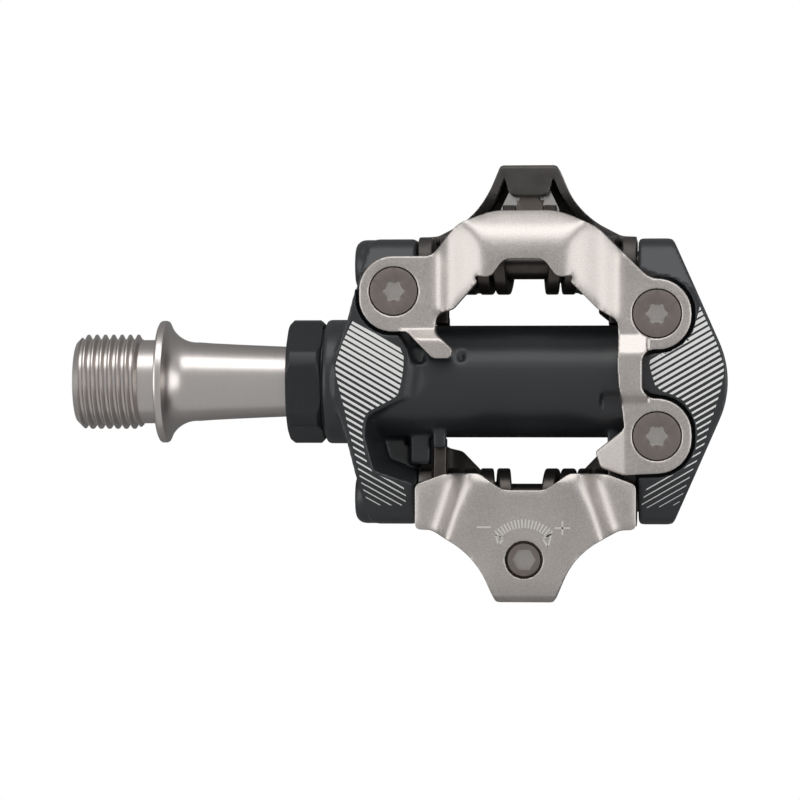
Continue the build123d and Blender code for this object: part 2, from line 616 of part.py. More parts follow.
# ---------------------------------------------------------------- body
# half plans of the wings, (x, y, corner radius), for y above 0
LEFT_WING = (
    (LEFT_VERTEX_X, 2.2, 1.0), (29.1, 9.2, 4.0), (LEFT_CORNER_X, WING_END_Y, 1.5),
    (LEFT_FACE_X, WING_END_Y, 0.4), (LEFT_FACE_X, BOSS_SIDE_Y, 0.4), (37.4, BOSS_SIDE_Y - 0.6, 0.5),
    (37.0, 8.7, 0.4), (PAD_INNER_X, 7.8, 0.4),
)
RIGHT_WING = (
    (RIGHT_FACE_X, WING_END_Y, 0.6), (RIGHT_SHOULDER_X, WING_END_Y, 1.0),
)
# pocket in each face beside the inboard pad
RECESS_PLAN = (
    (31.6, -8.0, 3.0), (32.0, -5.1, 1.5), (37.0, -2.7, 4.0), (48.0, -1.0, 0), (48.0, -15.6, 0),
    (39.3, -15.6, 0), (33.0, -13.2, 1.0),
)
# pocket in each face at the inboard pad's corner, beside the front claw's tail
PAD_CORNER_PLAN = (
    (36.0, 8.0, 0), (40.6, 8.0, 0), (40.6, 2.6, 0), (39.0, 2.6, 0.8), (38.0, 5.0, 1.5),
)


def mirrored_plan(half, extra=()):
    """Plan outline from its half above the X axis, mirrored below it."""
    lower = [(x, -y, r) for x, y, r in reversed(half)]
    return rounded_plan(list(half) + list(extra) + lower)


def make_wings():
    """Both wings: flat pads that thin down to the hinge bosses."""
    side = []
    for y_sign, z_sign in ((1, 1), (-1, 1), (-1, -1), (1, -1)):
        bend = (y_sign * WING_FLAT_Y, z_sign * WING_TOP, 3.0)
        corner = (y_sign * WING_END_Y, z_sign * WING_END_Z, 3.5)
        side += [bend, corner] if y_sign * z_sign < 0 else [corner, bend]
    profile = profile_along_x(side, LEFT_VERTEX_X - 1, RIGHT_VERTEX_X + 1)
    left = plan_prism(mirrored_plan(LEFT_WING), -20, 20) & profile
    right_plan = mirrored_plan(RIGHT_WING, [(RIGHT_VERTEX_X, 0, 14.0)])
    right = plan_prism(right_plan, -20, 20) & profile
    recess = extrude(rounded_plan(RECESS_PLAN), RECESS_FLOOR - WING_TOP, taper=RECESS_TAPER)
    recess = Pos(0, 0, WING_TOP) * recess
    return left - recess - turn_over(recess), right


def make_barrel():
    """Barrel with its collar, kept below the inboard pads and flared at the outboard wing."""
    right_x = RIGHT_FACE_X
    collar_end = COLLAR_X + COLLAR_LENGTH
    flare_r = BARREL_R + BARREL_FLARE
    tip = BARREL_FLARE * (1 - sqrt(0.5))
    top = Polyline((COLLAR_X, 0), (COLLAR_X, COLLAR_R - 0.4), (COLLAR_X + 0.4, COLLAR_R),
                   (collar_end, COLLAR_R), (collar_end + COLLAR_TAPER, BARREL_R),
                   (right_x - BARREL_FLARE, BARREL_R))
    flare = ThreePointArc((right_x - BARREL_FLARE, BARREL_R), (right_x - tip, BARREL_R + tip),
                          (right_x, flare_r))
    end = Polyline((right_x, flare_r), (right_x + 2, flare_r), (right_x + 2, 0), (COLLAR_X, 0))
    barrel = revolve(make_face(top + flare + end), Axis.X)
    middle = Pos(LEFT_VERTEX_X, 0, 0) * Box(FAR, FAR, 2 * BARREL_R,
                                            align=(Align.MIN, Align.CENTER, Align.CENTER))
    return barrel & (middle + along_x(COLLAR_X, LEFT_VERTEX_X, FAR / 2))


def make_pad_valley():
    """Space over the barrel's end, where the inboard pad falls away to it."""
    side = make_face(Polyline(
        (0, 0), (1.6, -PAD_VALLEY_DEPTH), (4.2, 0), (4.2, 2), (0, 2), close=True))
    return Pos(PAD_VALLEY_X, 0, WING_TOP) * Rot(0, 0, -PAD_VALLEY_TURN) * profile_along_y(side, -6.0, 6.0)


def make_boss_end():
    """Rounded end of the boss round the top claw's pin."""
    boss = along_x(BOSS_END_X, LEFT_FACE_X - 1, BOSS_END_R, -PIN_Y)
    rim = boss.edges().filter_by(GeomType.CIRCLE).sort_by(Axis.X)[0]
    return fillet(rim, BOSS_END_ROUND)


def make_ear_guard():
    """Block of the body in front of the top rear claw's inboard ear."""
    start = LEFT_FACE_X - 1
    return Pos(start, 0, 0) * Box(EAR_GUARD_END_X - start, EAR_GUARD_Y, 2 * EAR_GUARD_Z,
                                  align=(Align.MIN, Align.MAX, Align.CENTER))


def make_spring_stops():
    """Lugs that the top springs' body legs press up against."""
    lugs = []
    for side in (-1, 1):
        x = CLEAT_X + side * LEG_OFFSET_X
        turn = radians(SPRING_TURN)
        run = PIN_Y - STOP_REACH_Y - COIL_MEAN_R * sin(turn)
        leg_top = COIL_MEAN_R * cos(turn) - run * tan(turn) + WIRE / 2 / cos(turn)
        low = leg_top + STOP_GAP
        centre = Pos(x, -STOP_REACH_Y, low)
        lugs.append(centre * Box(2 * STOP_HALF_WIDTH, STOP_REACH_Y, STOP_TOP - low,
                                 align=(Align.CENTER, Align.MIN, Align.MIN)))
    return lugs


def make_pedal_body():
    left, right = make_wings()
    body = make_barrel() + left + right
    underside = front_height(PLATE)
    pockets = [plan_prism(rounded_plan(moved_out(corners, POCKET_GAP)), 0, 20) - underside
               for corners in (INBOARD_POCKET, OUTBOARD_POCKET)]
    pockets.append(plan_prism(rounded_plan(PAD_CORNER_PLAN), EAR_SEAT, 20))
    pockets.append(make_pad_valley())
    additions = make_spring_stops() + [make_boss_end(), make_ear_guard()]
    for face in (lambda shape: shape, turn_over):
        for addition in additions:
            body += face(addition)
        for pocket in pockets:
            body -= face(pocket)
        for x, y in SCREW_PLACES:
            low = EAR_TOP - SCREW_HEAD_SINK - SCREW_HEAD_DEPTH - SCREW_LENGTH - SCREW_HOLE_SPARE
            hole = plan_prism(Pos(x, y) * Circle(SCREW_R + SEAT), low, FAR)
            body -= face(hole)
        body -= face(along_x(LEFT_VERTEX_X, PIN_END_X + SEAT, PIN_R + SEAT, -PIN_Y))
    body -= along_x(COLLAR_X, LOCK_END_X + 0.4, LOCK_BARREL_R + SEAT)
    body -= along_x(COLLAR_X, SLEEVE_END_X, SLEEVE_R + SEAT)
    return body - along_x(COLLAR_X, BORE_END_X, SHOULDER_BORE_R)


# ---------------------------------------------------------------- all pieces
def make_all():
    """Every piece by its name."""
    front_claw = make_front_claw()
    claw_screws = make_claw_screws()
    rear_claw = make_rear_claw()
    spring_left = make_spring(-1)
    spring_right = make_spring(1)
    tension_bolt = make_tension_bolt()
    tension_plate = make_tension_plate()
    pin = make_pivot_pin()
    return {
        "spindle": make_spindle(),
        "dust_seal": make_dust_seal(),
        "lock_bolt": make_lock_bolt(),
        "plain_bush": make_plain_bush(),
        "bearing_sleeve": make_bearing_sleeve(),
        "ball_row_inboard": make_ball_row(INBOARD_ROW_X),
        "ball_row_outboard": make_ball_row(OUTBOARD_ROW_X),
        "bearing_cone": make_bearing_cone(),
        "lock_nut": make_lock_nut(),
        "pedal_body": make_pedal_body(),
        "front_claw_top": front_claw,
        "front_claw_bottom": turn_over(front_claw),
        "claw_screws_top": claw_screws,
        "claw_screws_bottom": turn_over(claw_screws),
        "rear_claw_top": rear_claw,
        "rear_claw_bottom": turn_over(rear_claw),
        "pivot_pin_rear": pin,
        "pivot_pin_front": turn_over(pin),
        "spring_top_left": spring_left,
        "spring_top_right": spring_right,
        "spring_bottom_left": turn_over(spring_left),
        "spring_bottom_right": turn_over(spring_right),
        "tension_bolt_top": tension_bolt,
        "tension_bolt_bottom": turn_over(tension_bolt),
        "tension_plate_top": tension_plate,
        "tension_plate_bottom": turn_over(tension_plate),
    }


os.makedirs("parts", exist_ok=True)
for name, shape in make_all().items():
    export_step(shape, f"parts/{name}.step")
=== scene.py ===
"""Looks of a double-sided clipless pedal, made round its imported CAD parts.

Everything is in metres in the CAD's own frame: +X runs outboard along the spindle,
+Y points at the top face's fixed front claw and +Z comes out of the top face.
"""
import math
from contextlib import contextmanager
from itertools import pairwise

import bmesh
import bpy
from bpy.props import FloatProperty, FloatVectorProperty, IntProperty, PointerProperty
from mathutils import Matrix, Vector


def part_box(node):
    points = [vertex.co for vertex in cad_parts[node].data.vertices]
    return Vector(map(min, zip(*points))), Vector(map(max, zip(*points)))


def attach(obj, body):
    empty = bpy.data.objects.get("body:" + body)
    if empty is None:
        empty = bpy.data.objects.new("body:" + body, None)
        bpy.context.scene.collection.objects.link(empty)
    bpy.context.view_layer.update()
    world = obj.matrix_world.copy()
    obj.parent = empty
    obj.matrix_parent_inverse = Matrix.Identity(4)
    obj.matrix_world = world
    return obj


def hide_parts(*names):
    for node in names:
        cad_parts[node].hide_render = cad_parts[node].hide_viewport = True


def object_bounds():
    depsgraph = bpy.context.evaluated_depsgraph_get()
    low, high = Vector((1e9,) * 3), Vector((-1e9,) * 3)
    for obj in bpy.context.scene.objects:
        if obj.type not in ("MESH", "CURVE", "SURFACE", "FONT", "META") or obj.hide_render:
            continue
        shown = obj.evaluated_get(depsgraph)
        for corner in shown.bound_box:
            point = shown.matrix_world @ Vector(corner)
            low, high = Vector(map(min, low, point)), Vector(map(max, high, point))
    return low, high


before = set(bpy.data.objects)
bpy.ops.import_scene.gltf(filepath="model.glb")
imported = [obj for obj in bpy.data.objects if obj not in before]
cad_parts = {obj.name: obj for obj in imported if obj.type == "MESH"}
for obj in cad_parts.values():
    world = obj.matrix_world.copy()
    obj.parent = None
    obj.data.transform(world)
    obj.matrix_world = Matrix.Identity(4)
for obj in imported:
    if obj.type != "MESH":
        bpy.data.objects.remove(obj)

bl_info = {
    "name": "Clipless Pedal",
    "version": (1, 0, 0),
    "blender": (4, 5, 0),
    "location": "3D View > Sidebar > Pedal",
    "description": "Builds the finishes and fine detail of a clipless pedal on its CAD parts",
    "category": "Object",
}

MM = 0.001
CAD_BOX = [list(corner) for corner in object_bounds()]
HALF_TURN_ABOUT_X = Matrix.Rotation(math.pi, 4, "X")


# ---------------------------------------------------------------- sizes and colours
def length(name, description, default_mm):
    return FloatProperty(name=name, description=description, default=default_mm * MM,
                         unit="LENGTH", precision=5, step=0.01)


def colour(name, description, default):
    return FloatVectorProperty(name=name, description=description, default=default,
                               subtype="COLOR", min=0.0, max=1.0)


def share(name, description, default):
    return FloatProperty(name=name, description=description, default=default,
                         min=0.0, max=1.0, subtype="FACTOR")


class PedalSpindleSettings(bpy.types.PropertyGroup):
    thread_r: length("Thread radius", "Major radius of the crank thread", 7.14)
    thread_pitch: length("Thread pitch", "Travel of the crank thread in one turn", 1.27)
    thread_depth: length("Thread depth", "Height of the crank thread's ridge", 0.72)
    thread_start: length("Thread start", "Place of the thread's inboard end", -12.6)
    thread_end: length("Thread end", "Place of the thread's end at the relief groove", -2.8)
    thread_chamfer: length("Thread chamfer", "Bevel on the thread's inboard end", 1.1)
    key_flats: length("Key flats", "Across the flats of the hexagon socket", 8.0)
    key_depth: length("Key depth", "Depth of the hexagon socket", 9.0)
    thread_lead: FloatProperty(name="Lead", default=3.013,
                               description="Pitches of thread drawn before the blank's end")
    steel: colour("Steel", "Colour of the turned steel", (0.60, 0.565, 0.545))


class PedalClawSettings(bpy.types.PropertyGroup):
    front_voxel: length("Front grain", "Mesh size of the front claws", 0.2)
    rear_voxel: length("Rear grain", "Mesh size of the rear claws", 0.2)
    nickel: colour("Nickel", "Colour of the blasted plating", (0.55, 0.515, 0.49))
    speckle: length("Speckle", "Size of the blasted speckle", 0.22)
    # Painted shade: faces whose normal's height is below this get the darkened nickel.
    painted_shade_below: FloatProperty(name="Dark side", default=-0.2,
                             description="Normal's height below which plating stays dark")
    blend_rounds: IntProperty(name="Blending", description="Rounds of smoothing over the bends",
                              default=70)
    tick_count: IntProperty(name="Ticks", description="Ticks on the tension gauge", default=18)
    tick_fan: FloatProperty(name="Fan", description="Angle from the first tick to the last",
                            default=math.radians(90), subtype="ANGLE")
    tick_width: length("Tick width", "Width of the gauge's lines", 0.26)
    tick_height: length("Tick height", "How far the gauge's lines stand up", 0.05)
    tick_reach: length("Tick length", "Length of a tick", 1.27)
    tick_circle: length("Tick circle", "From the tension bolt to the ticks' middle", 5.33)
    top_z: length("Top height", "Height of a rear claw's flat top", 12.8)
    bolt_y: length("Bolt place", "Place of the tension bolt across the spindle", -26.2)
    bolt_x: length("Middle", "Middle of the claws along the spindle", 55.5)


class PedalBodySettings(bpy.types.PropertyGroup):
    voxel: length("Body grain", "Mesh size of the body", 0.34)
    paint: colour("Paint", "Colour of the body's paint", (0.016, 0.018, 0.021))
    stripe_colour: colour("Stripes", "Colour of the etched stripes", (0.78, 0.78, 0.77))
    stripe_slant: FloatProperty(name="Slant", description="Slant of the etched stripes",
                                default=math.radians(30), subtype="ANGLE")
    stripe_pitch: length("Stripe pitch", "From one etched stripe to the next", 0.8)
    stripe_width: length("Stripe width", "Width of the broadest stripe", 0.57)
    stripe_thinning: share("Thinning", "How much narrower each stripe is than the one above",
                           0.028875)
    stripe_above: length("Stripe blank", "Height at which the bars are laid out", 9.4)
    stripe_height: length("Stripe height", "How far the etched stripes stand up", 0.03)


class PedalSpringSettings(bpy.types.PropertyGroup):
    wire: length("Wire", "Side of the square wire", 1.95)
    corner: length("Wire corner", "Rounding of the wire's corners", 0.3)
    mean_r: length("Coil radius", "From the pin's axis to the wire's middle", 3.425)
    pitch: length("Coil pitch", "Travel of the coil in one turn", 2.48)
    turns: IntProperty(name="Turns", description="Turns in each coil", default=4)
    body_leg: length("Body leg", "Length of the leg that rests on the body", 8.3)
    claw_leg: length("Claw leg", "Length of the leg under the tension plate", 9.8)
    pin_y: length("Pin place", "Place of the pins across the spindle", 17.4)
    lean: FloatProperty(name="Lean", description="Turn of a spring's legs about its pin",
                        default=math.radians(9.52), subtype="ANGLE")
    steel: colour("Spring steel", "Colour of the oiled spring steel", (0.075, 0.066, 0.06))


class PedalStageSettings(bpy.types.PropertyGroup):
    lens: FloatProperty(name="Lens", description="Focal length of the camera", default=164.6)
    distance: length("Distance", "From the camera to what it looks at", 550.0)
    lean: FloatProperty(name="Lean", description="Lean of the view towards the outboard end",
                        default=math.radians(4.86), subtype="ANGLE")
    aim_x: length("Aim X", "Point the camera looks at, along the spindle", 36.23)
    aim_y: length("Aim Y", "Point the camera looks at, across the spindle", -2.77)


SETTINGS = {
    "pedal_spindle": PedalSpindleSettings,
    "pedal_claw": PedalClawSettings,
    "pedal_body": PedalBodySettings,
    "pedal_spring": PedalSpringSettings,
    "pedal_stage": PedalStageSettings,
}


# ---------------------------------------------------------------- modelling by hand
def only(piece):
    """Selects one piece alone and makes it the active one."""
    bpy.ops.object.select_all(action="DESELECT")
    piece.select_set(True)
    bpy.context.view_layer.objects.active = piece


@contextmanager
def editing(piece, kind="VERT"):
    """Edit mode on one piece, with all of it selected at first."""
    only(piece)
    bpy.ops.object.mode_set(mode="EDIT")
    bpy.ops.mesh.select_mode(type=kind)
    bpy.ops.mesh.select_all(action="SELECT")
    yield
    bpy.ops.object.mode_set(mode="OBJECT")


def pick(piece, part, wanted):
    """Selects, of the piece's verts, edges or faces in edit mode, those that pass the test."""
    bpy.ops.mesh.select_all(action="DESELECT")
    shape = bmesh.from_edit_mesh(piece.data)
    for item in getattr(shape, part):
        if wanted(item):
            item.select_set(True)
    shape.select_flush_mode()
    bmesh.update_edit_mesh(piece.data)


def placed(name):
    """Names the active piece and settles its place into its mesh."""
    piece = bpy.context.object
    piece.name = piece.data.name = name
    only(piece)
    bpy.ops.object.transform_apply(location=True, rotation=True, scale=True)
    return piece


def fitted(piece, kind, **settings):
    """Adds a modifier and applies it."""
    only(piece)
    modifier = piece.modifiers.new(kind.title(), kind)
    for name, value in settings.items():
        setattr(modifier, name, value)
    bpy.ops.object.modifier_apply(modifier=modifier.name)
    return piece


def joined(name, pieces):
    """Joins pieces into one."""
    bpy.ops.object.select_all(action="DESELECT")
    for piece in pieces:
        piece.select_set(True)
    bpy.context.view_layer.objects.active = pieces[0]
    bpy.ops.object.join()
    return placed(name)


def copied(piece, name, turn):
    """A copy with its own mesh, moved by a matrix that keeps its size."""
    twin = piece.copy()
    twin.data = piece.data.copy()
    twin.name = twin.data.name = name
    bpy.context.scene.collection.objects.link(twin)
    twin.data.transform(turn)
    if turn.determinant() < 0:
        twin.data.flip_normals()
    return twin


def drawn_line(name, points):
    """A chain of edges through the points, drawn by extruding from the first."""
    bpy.ops.mesh.primitive_plane_add(size=MM, location=points[0])
    line = placed(name)
    with editing(line):
        bpy.ops.mesh.merge(type="CENTER")
        for here, there in pairwise(points):
            step = Vector(there) - Vector(here)
            bpy.ops.mesh.extrude_region_move(TRANSFORM_OT_translate={"value": step})
    return line


def turned_shape(name, profile, steps=96):
    """A closed shape spun about the X axis from (x, radius) points in millimetres."""
    piece = drawn_line(name, [(x * MM, 0, r * MM) for x, r in profile])
    with editing(piece):
        bpy.ops.mesh.spin(steps=steps, angle=2 * math.pi, center=(0, 0, 0), axis=(1, 0, 0))
        bpy.ops.mesh.select_all(action="SELECT")
        bpy.ops.mesh.remove_doubles(threshold=0.001 * MM)
        bpy.ops.mesh.normals_make_consistent(inside=False)
    return piece


def arc_through(start, middle, end, steps):
    """Points on the circle through three points in a plane, both ends included."""
    (ax, ay), (bx, by), (cx, cy) = start, middle, end
    twice = 2 * (ax * (by - cy) + bx * (cy - ay) + cx * (ay - by))
    a2, b2, c2 = ax * ax + ay * ay, bx * bx + by * by, cx * cx + cy * cy
    ox = (a2 * (by - cy) + b2 * (cy - ay) + c2 * (ay - by)) / twice
    oy = (a2 * (cx - bx) + b2 * (ax - cx) + c2 * (bx - ax)) / twice
    first = math.atan2(ay - oy, ax - ox)
    sweep = math.remainder(math.atan2(cy - oy, cx - ox) - first, 2 * math.pi)
    radius = math.hypot(ax - ox, ay - oy)
    turns = [first + sweep * step / steps for step in range(steps + 1)]
    return [(ox + radius * math.cos(t), oy + radius * math.sin(t)) for t in turns]


def cad_copy(node, name):
    """A merged copy of a CAD node's mesh."""
    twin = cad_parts[node].copy()
    twin.data = twin.data.copy()
    twin.parent = None
    for key in list(twin.keys()):
        del twin[key]
    twin.name = twin.data.name = name
    bpy.context.scene.collection.objects.link(twin)
    with editing(twin):
        bpy.ops.mesh.remove_doubles(threshold=0.001 * MM)
        bpy.ops.mesh.customdata_custom_splitnormals_clear()
    return twin


def softened(piece, voxel, rounds):
    """Remeshes a piece evenly and smooths its edges, as blasting and plating do."""
    fitted(piece, "REMESH", mode="VOXEL", voxel_size=voxel)
    fitted(piece, "SMOOTH", factor=0.5, iterations=rounds)
    only(piece)
    bpy.ops.object.shade_smooth()
    return piece


def blended(piece, wanted, rounds):
    """Flows the chosen verts into one another and leaves the rest where they are."""
    with editing(piece):
        pick(piece, "verts", wanted)
        bpy.ops.mesh.vertices_smooth(factor=0.5, repeat=rounds)


def eased(piece, width, angle=40):
    """Breaks the sharp edges of a piece with a small bevel and keeps its flats flat."""
    fitted(piece, "BEVEL", width=width, segments=2, limit_method="ANGLE",
           angle_limit=math.radians(angle))
    only(piece)
    bpy.ops.object.shade_smooth_by_angle(angle=math.radians(35))
    fitted(piece, "WEIGHTED_NORMAL", keep_sharp=True)
    return piece


def plan_sheet(name, outline, height):
    """Flat face with a plan outline in millimetres."""
    sheet = drawn_line(name, [(x * MM, y * MM, height) for x, y in (*outline, outline[0])])
    with editing(sheet):
        bpy.ops.mesh.remove_doubles(threshold=0.001 * MM)
        bpy.ops.mesh.select_all(action="SELECT")
        bpy.ops.mesh.edge_face_add()
    return sheet


def raised(piece, height):
    """Extrudes a sheet into a closed block."""
    with editing(piece, "FACE"):
        bpy.ops.mesh.extrude_region_move(TRANSFORM_OT_translate={"value": (0, 0, height)})
        bpy.ops.mesh.select_all(action="SELECT")
        bpy.ops.mesh.normals_make_consistent(inside=False)
    return piece


def laid_on(piece, ground, height):
    """Drops a sheet straight down on a piece and gives it a thickness above it."""
    fitted(piece, "SHRINKWRAP", target=ground, wrap_method="PROJECT", use_project_z=True,
           use_negative_direction=True, use_positive_direction=False, offset=height / 2,
           cull_face="BACK")
    return fitted(piece, "SOLIDIFY", thickness=height, offset=0.0)


def painted(piece, wanted, finish):
    """Gives the faces that pass the test a second material."""
    piece.data.materials.append(finish)
    with editing(piece, "FACE"):
        pick(piece, "faces", wanted)
        piece.active_material_index = len(piece.data.materials) - 1
        bpy.ops.object.material_slot_assign()


def coat(piece, finish):
    """Gives a piece one material all over."""
    piece.data.materials.clear()
    piece.data.materials.append(finish)


def stand_for(piece, node, body, finish):
    """The piece takes a CAD node's place on its body, in a finish unless it has its own."""
    if finish:
        coat(piece, finish)
    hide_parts(node)
    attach(piece, body)


# ---------------------------------------------------------------- finishes
class Field:
    """A shader value that varies over a surface; sums on it add Math nodes."""

    def __init__(self, finish, socket):
        self.finish = finish
        self.socket = socket

    def _maths(self, operation, *values):
        return self.finish.node("ShaderNodeMath", {"operation": operation},
                                dict(enumerate(values)))

    def __add__(self, other):
        return self._maths("ADD", self, other)

    __radd__ = __add__

    def __sub__(self, other):
        return self._maths("SUBTRACT", self, other)

    def __rsub__(self, other):
        return self._maths("SUBTRACT", other, self)

    def __mul__(self, other):
        return self._maths("MULTIPLY", self, other)

    __rmul__ = __mul__

    def __pow__(self, other):
        return self._maths("POWER", self, other)


class Finish:
    """One material and its nodes."""

    def __init__(self, name):
        self.material = bpy.data.materials.new(name)
        self.material.use_nodes = True
        self.tree = self.material.node_tree
        self.shader = self.tree.nodes["Principled BSDF"]

    def node(self, kind, settings=None, sockets=None, output=0):
        """Adds a node: its settings first, then the values or links of its sockets."""
        made = self.tree.nodes.new(kind)
        for name, value in (settings or {}).items():
            if name == "stops":
                ramp = made.color_ramp
                while len(ramp.elements) < len(value):
                    ramp.elements.new(1.0)
                for element, (place, shade) in zip(ramp.elements, value):
                    element.position = place
                    element.color = (shade, shade, shade, 1.0)
            else:
                setattr(made, name, value)
        for name, value in (sockets or {}).items():
            self.plug(made.inputs[name], value)
        return Field(self, made.outputs[output])

    def plug(self, socket, value):
        if isinstance(value, Field):
            self.tree.links.new(value.socket, socket)
        else:
            socket.default_value = value

    def place(self, scale=(1, 1, 1)):
        """Place on the piece itself, stretched along each axis."""
        coordinates = self.node("ShaderNodeTexCoord", output="Object")
        return self.node("ShaderNodeMapping", {}, {"Vector": coordinates, "Scale": scale})

    def noise(self, size, detail=2.0, stretch=(1, 1, 1), roughness=0.5):
        """Noise whose grains are about the given size, from 0 to 1."""
        scale = tuple(axis / size for axis in stretch)
        return self.node("ShaderNodeTexNoise", {}, {
            "Vector": self.place(scale), "Scale": 1.0, "Detail": detail,
            "Roughness": roughness})

    def ramp(self, value, *stops):
        return self.node("ShaderNodeValToRGB", {"stops": stops}, {0: value})

    def tint(self, base, darkest, lightest, value):
        """A base colour scaled from darkest to lightest as value goes from 0 to 1."""
        low = tuple(min(c * darkest, 1) for c in base) + (1,)
        high = tuple(min(c * lightest, 1) for c in base) + (1,)
        return self.node("ShaderNodeMix", {"data_type": "RGBA"}, {0: value, 6: low, 7: high},
                         output=2)

    def bump(self, height, distance, strength=1.0, below=None):
        sockets = {"Height": height, "Distance": distance, "Strength": strength}
        if below:
            sockets["Normal"] = below
        return self.node("ShaderNodeBump", {}, sockets)

    def surface(self, **sockets):
        for name, value in sockets.items():
            self.plug(self.shader.inputs[name.replace("_", " ")], value)
        return self.material


def once(make):
    """Makes a material the first time it is asked for and gives the same one after that."""
    made = {}

    def give():
        if "material" not in made:
            made["material"] = make()
        return made["material"]
    return give


@once
def blasted_nickel():
    settings = bpy.context.scene.pedal_claw
    finish = Finish("blasted_nickel")
    speckle = finish.noise(settings.speckle, detail=3.0, roughness=0.65)
    cloud = finish.noise(6 * MM, detail=2.0)
    shade = speckle * 0.75 + cloud * 0.25
    grain = finish.ramp(shade, (0.32, 0.0), (0.68, 1.0))
    pits = finish.bump(speckle, 0.035 * MM, 0.55)
    return finish.surface(
        Base_Color=finish.tint(settings.nickel, 0.80, 1.16, grain),
        Metallic=1.0,
        Roughness=0.34 + grain * 0.14,
        Normal=pits)


@once
def shaded_nickel():
    """Painted shade: the nickel darkened for the faces that point back into the pedal, where
    shade falls inside the claws.
    """
    settings = bpy.context.scene.pedal_claw
    finish = Finish("shaded_nickel")
    speckle = finish.noise(settings.speckle, detail=3.0, roughness=0.65)
    cloud = finish.noise(3 * MM, detail=2.0)
    return finish.surface(
        Base_Color=finish.tint(settings.nickel, 0.10, 0.26, speckle * 0.4 + cloud * 0.6),
        Metallic=1.0,
        Roughness=0.45 + speckle * 0.15,
        Normal=finish.bump(speckle, 0.035 * MM, 0.5))


@once
def cut_nickel():
    """Fresh metal of the gauge's lines."""
    finish = Finish("cut_nickel")
    grain = finish.noise(0.1 * MM)
    return finish.surface(
        Base_Color=finish.tint((0.95, 0.91, 0.88), 0.85, 1.0, grain),
        Metallic=1.0,
        Roughness=0.30 + grain * 0.12,
        Normal=finish.bump(grain, 0.008 * MM, 0.4))


@once
def bright_steel():
    """Painted highlight: a lighter steel for the screws' key recesses, standing in for the light
    that the recess walls catch.
    """
    finish = Finish("bright_steel")
    grain = finish.noise(0.2 * MM)
    return finish.surface(
        Base_Color=finish.tint((0.50, 0.47, 0.45), 0.8, 1.15, grain),
        Metallic=1.0,
        Roughness=0.26 + grain * 0.14,
        Normal=finish.bump(grain, 0.012 * MM, 0.5))


@once
def turned_steel():
    settings = bpy.context.scene.pedal_spindle
    finish = Finish("turned_steel")
    rings = finish.noise(0.12 * MM, detail=2.0, stretch=(1, 0.02, 0.02))
    cloud = finish.noise(4 * MM)
    return finish.surface(
        Base_Color=finish.tint(settings.steel, 0.92, 1.06, rings * 0.6 + cloud * 0.4),
        Metallic=1.0,
        Roughness=0.24 + rings * 0.14,
        Normal=finish.bump(rings, 0.012 * MM, 0.4))


@once
def ground_steel():
    finish = Finish("ground_steel")
    rings = finish.noise(0.2 * MM, stretch=(1, 0.05, 0.05))
    return finish.surface(
        Base_Color=finish.tint((0.62, 0.61, 0.60), 0.9, 1.05, rings),
        Metallic=1.0,
        Roughness=0.16 + rings * 0.12,
        Normal=finish.bump(rings, 0.006 * MM, 0.3))


@once
def matt_screw_steel():
    finish = Finish("matt_screw_steel")
    grain = finish.noise(0.15 * MM, detail=3.0)
    cloud = finish.noise(2.5 * MM)
    return finish.surface(
        Base_Color=finish.tint((0.235, 0.205, 0.19), 0.82, 1.15, grain * 0.5 + cloud * 0.5),
        Metallic=1.0,
        Roughness=0.40 + grain * 0.12,
        Normal=finish.bump(grain, 0.015 * MM, 0.5))


@once
def oiled_spring_steel():
    settings = bpy.context.scene.pedal_spring
    finish = Finish("oiled_spring_steel")
    drawn = finish.noise(0.25 * MM, detail=3.0)
    film = finish.noise(1.6 * MM)
    return finish.surface(
        Base_Color=finish.tint(settings.steel, 0.7, 1.4, film),
        Metallic=0.85,
        Roughness=0.26 + drawn * 0.14,
        Normal=finish.bump(drawn, 0.012 * MM, 0.5))


@once
def satin_black_paint():
    settings = bpy.context.scene.pedal_body
    finish = Finish("satin_black_paint")
    skin = finish.noise(0.35 * MM, detail=2.0)
    cloud = finish.noise(9 * MM)
    finish.shader.inputs["Coat Weight"].default_value = 0.15
    finish.shader.inputs["Coat Roughness"].default_value = 0.25
    return finish.surface(
        Base_Color=finish.tint(settings.paint, 0.85, 1.2, cloud * 0.6 + skin * 0.4),
        Roughness=0.36 + skin * 0.08,
        Normal=finish.bump(skin, 0.01 * MM, 0.35))


@once
def black_anodising():
    finish = Finish("black_anodising")
    rings = finish.noise(0.3 * MM, detail=2.0, stretch=(1, 0.2, 0.2))
    return finish.surface(
        Base_Color=finish.tint((0.017, 0.019, 0.022), 0.8, 1.3, rings),
        Metallic=0.3,
        Roughness=0.34 + rings * 0.1,
        Normal=finish.bump(rings, 0.01 * MM, 0.3))


@once
def etched_white():
    settings = bpy.context.scene.pedal_body
    finish = Finish("etched_white")
    grain = finish.noise(0.12 * MM, detail=2.0)
    return finish.surface(
        Base_Color=finish.tint(settings.stripe_colour, 0.86, 1.04, grain),
        Roughness=0.45 + grain * 0.15,
        Normal=finish.bump(grain, 0.008 * MM, 0.4))


@once
def seal_rubber():
    finish = Finish("seal_rubber")
    skin = finish.noise(0.25 * MM, detail=3.0)
    return finish.surface(
        Base_Color=finish.tint((0.022, 0.022, 0.023), 0.8, 1.3, skin),
        Roughness=0.62 + skin * 0.15,
        Normal=finish.bump(skin, 0.02 * MM, 0.5))


@once
def bush_plastic():
    finish = Finish("bush_plastic")
    flow = finish.noise(1.2 * MM, detail=2.0)
    return finish.surface(
        Base_Color=finish.tint((0.70, 0.68, 0.62), 0.92, 1.05, flow),
        Roughness=0.42 + flow * 0.1,
        Normal=finish.bump(flow, 0.01 * MM, 0.3))


